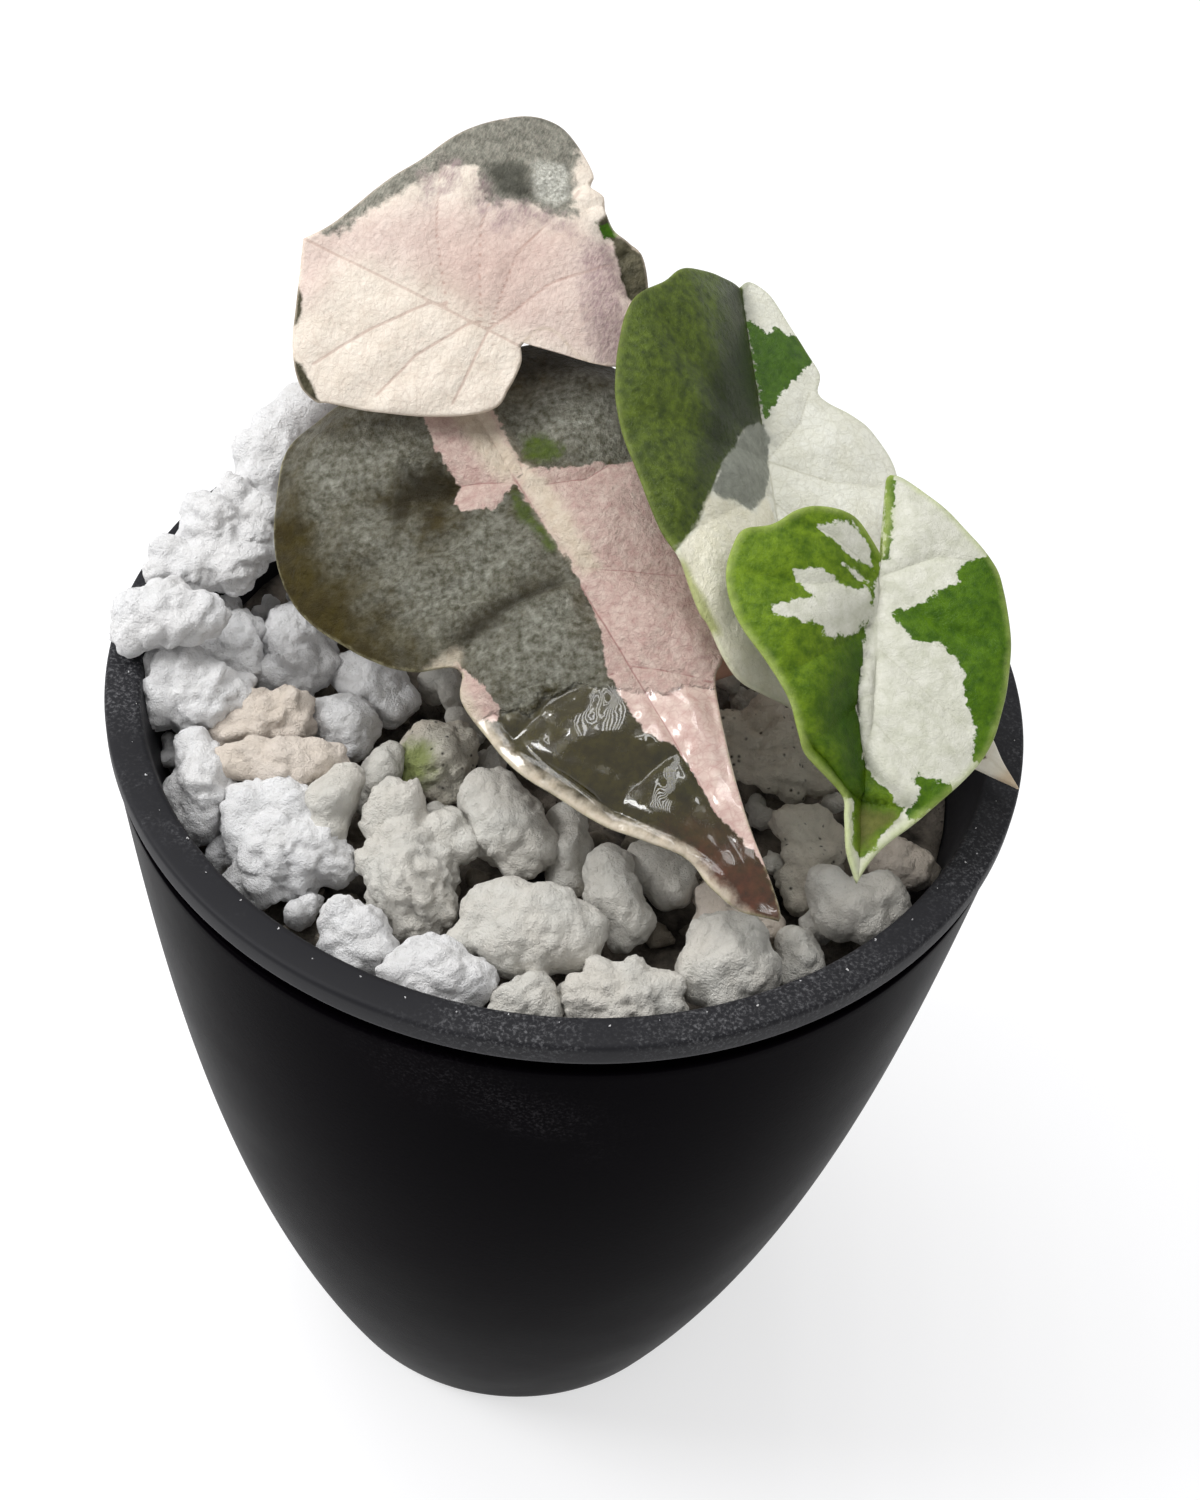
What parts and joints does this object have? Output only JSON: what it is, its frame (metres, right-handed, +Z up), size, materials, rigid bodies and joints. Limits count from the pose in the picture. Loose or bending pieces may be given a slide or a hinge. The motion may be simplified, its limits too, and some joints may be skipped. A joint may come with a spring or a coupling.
{
  "type": "potted alocasia cuprea",
  "caption": "Young variegated alocasia in a black liner pot of coarse perlite that stands inside a tapered black outer pot.",
  "frame": {"origin": "centre of the outer pot's flat foot, on the surface that the pot stands on", "axes": "+Z up; the largest leaf points towards -Y and +X, and the picture's camera looks from -Y"},
  "size_m": [0.105, 0.105, 0.1648],
  "materials": {
    "outer_pot": "satin black",
    "liner_pot": "matt charcoal, dusted with perlite",
    "perlite": "rough white expanded perlite",
    "perlite_stained": "rough perlite with dark specks and a green tinge",
    "corm": "fibrous brown",
    "root": "pale and smooth",
    "petiole": "smooth, peach pink",
    "leaf_pink": "satin pink and cream with grey-green patches",
    "leaf_copper": "metallic copper olive with a pink strip",
    "leaf_dark_green": "satin dark green and white",
    "leaf_bright_green": "glossy bright green and white",
    "leaf_small_white": "satin cream white"
  },
  "bodies": {
    "root": {"outer_pot": "outer_pot", "liner_pot": "liner_pot", "perlite_bed": "perlite", "perlite_01": "perlite", "perlite_02": "perlite", "perlite_03": "perlite", "perlite_04": "perlite", "perlite_05": "perlite", "perlite_06": "perlite", "perlite_07": "perlite", "perlite_08": "perlite", "perlite_09": "perlite", "perlite_10": "perlite", "perlite_11": "perlite_stained", "perlite_12": "perlite", "perlite_13": "perlite", "perlite_14": "perlite", "perlite_15": "perlite", "perlite_16": "perlite", "perlite_17": "perlite", "perlite_18": "perlite", "perlite_19": "perlite", "perlite_20": "perlite", "perlite_21": "perlite", "perlite_22": "perlite", "perlite_23": "perlite", "perlite_24": "perlite", "perlite_25": "perlite", "perlite_26": "perlite", "perlite_27": "perlite", "perlite_28": "perlite", "perlite_29": "perlite", "perlite_30": "perlite_stained", "perlite_31": "perlite", "perlite_32": "perlite", "perlite_33": "perlite_stained", "perlite_34": "perlite", "perlite_35": "perlite", "perlite_36": "perlite", "perlite_37": "perlite", "perlite_38": "perlite", "perlite_39": "perlite", "perlite_40": "perlite", "perlite_41": "perlite", "perlite_42": "perlite", "corm": "corm", "root_1": "root", "root_2": "root", "root_3": "root", "petiole_pink": "petiole", "leaf_pink": "leaf_pink", "petiole_copper": "petiole", "leaf_copper": "leaf_copper", "petiole_dark_green": "petiole", "leaf_dark_green": "leaf_dark_green", "petiole_bright_green": "petiole", "leaf_bright_green": "leaf_bright_green", "petiole_small_white": "petiole", "leaf_small_white": "leaf_small_white"}
  },
  "joints": []
}
